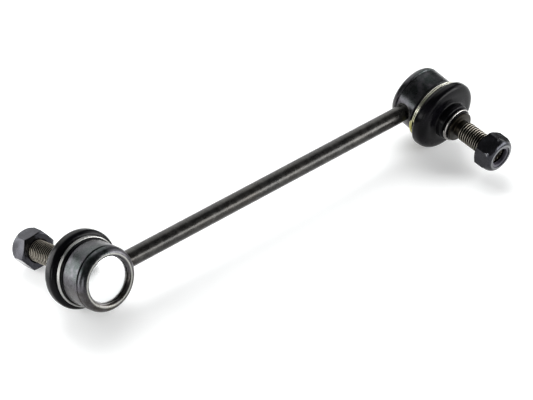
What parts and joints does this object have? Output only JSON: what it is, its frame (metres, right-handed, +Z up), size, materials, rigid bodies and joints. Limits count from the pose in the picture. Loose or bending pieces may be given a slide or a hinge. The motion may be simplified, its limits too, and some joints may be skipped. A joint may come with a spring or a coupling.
{
  "type": "stabilizer link",
  "caption": "Straight rod with a booted ball joint at each end, studs facing opposite ways, each stud with a threaded shank and a nylon-insert lock nut.",
  "frame": {"origin": "on the surface the link lies on, under the middle of its bounding box", "axes": "+X along the rod towards the joint whose stud points at the viewer in the picture, +Y the way the other joint's stud points, +Z up"},
  "size_m": [0.2356, 0.104, 0.0357],
  "materials": {
    "rod": "satin black phosphate coat",
    "cup": "semi-gloss black coat on forged steel",
    "cover_plate": "bright zinc, near mirror",
    "ball_seat": "natural moulded acetal",
    "pressure_cap": "natural moulded acetal",
    "ball_stud": "dark phosphate on rolled thread",
    "boot": "satin black moulded rubber",
    "base_ring": "bright spring wire with a yellow zinc tint",
    "neck_ring": "bright spring wire",
    "lock_nut": "black zinc, semi-gloss",
    "nut_insert": "grey nylon"
  },
  "bodies": {
    "root": {"rod": "rod", "left_cup": "cup", "left_cover_plate": "cover_plate", "left_ball_seat": "ball_seat", "left_pressure_cap": "pressure_cap", "left_base_ring": "base_ring", "right_cup": "cup", "right_cover_plate": "cover_plate", "right_ball_seat": "ball_seat", "right_pressure_cap": "pressure_cap", "right_base_ring": "base_ring"},
    "left_boot_swing": {"left_boot": "boot"},
    "left_neck_tilt": {"left_neck_ring": "neck_ring"},
    "left_stud": {"left_ball_stud": "ball_stud"},
    "left_nut_carrier": {"left_nut_insert": "nut_insert"},
    "left_nut": {"left_lock_nut": "lock_nut"},
    "right_boot_swing": {"right_boot": "boot"},
    "right_neck_tilt": {"right_neck_ring": "neck_ring"},
    "right_stud": {"right_ball_stud": "ball_stud"},
    "right_nut_carrier": {"right_nut_insert": "nut_insert"},
    "right_nut": {"right_lock_nut": "lock_nut"}
  },
  "joints": [
    {"name": "left_swing", "type": "hinge", "parent": "root", "child": "left_boot_swing", "pos_m": [-0.1, -0.00115, 0.02012], "axis": [1, 0, 0], "range_deg": [-18, 18], "deforming": ["left_boot"]},
    {"name": "left_sway", "type": "hinge", "parent": "left_boot_swing", "child": "left_neck_tilt", "pos_m": [-0.1, -0.00115, 0.02012], "axis": [0, 0.225, 0.9744], "range_deg": [-18, 18], "deforming": ["left_boot"]},
    {"name": "left_spin", "type": "hinge", "parent": "left_neck_tilt", "child": "left_stud", "pos_m": [-0.1, -0.00115, 0.02012], "axis": [0, 0.9744, -0.225], "continuous": true},
    {"name": "left_nut_travel", "type": "slide", "parent": "left_stud", "child": "left_nut_carrier", "axis": [0, 0.9744, -0.225], "range_m": [-0.01625, 0.0025]},
    {"name": "left_nut_turn", "type": "hinge", "parent": "left_nut_carrier", "child": "left_nut", "pos_m": [-0.1, 0.04101, 0.01039], "axis": [0, 0.9744, -0.225], "range_deg": [-4680, 720]},
    {"name": "right_swing", "type": "hinge", "parent": "root", "child": "right_boot_swing", "pos_m": [0.1, -0.00115, 0.02012], "axis": [-1, 0, 0], "range_deg": [-21.8, 14.2], "deforming": ["right_boot"]},
    {"name": "right_sway", "type": "hinge", "parent": "right_boot_swing", "child": "right_neck_tilt", "pos_m": [0.1, -0.00115, 0.02012], "axis": [0, -0.1599, 0.9871], "range_deg": [-18, 18], "deforming": ["right_boot"]},
    {"name": "right_spin", "type": "hinge", "parent": "right_neck_tilt", "child": "right_stud", "pos_m": [0.1, -0.00115, 0.02012], "axis": [0, -0.9871, -0.1599], "continuous": true},
    {"name": "right_nut_travel", "type": "slide", "parent": "right_stud", "child": "right_nut_carrier", "axis": [0, -0.9871, -0.1599], "range_m": [-0.01375, 0.005]},
    {"name": "right_nut_turn", "type": "hinge", "parent": "right_nut_carrier", "child": "right_nut", "pos_m": [0.1, -0.0413, 0.01362], "axis": [0, -0.9871, -0.1599], "range_deg": [-3960, 1440]}
  ],
  "couplings": [
    {"joint": "left_nut_turn", "follows": "left_nut_travel", "rad_per_m": 5026.5},
    {"joint": "right_nut_turn", "follows": "right_nut_travel", "rad_per_m": 5026.5}
  ]
}
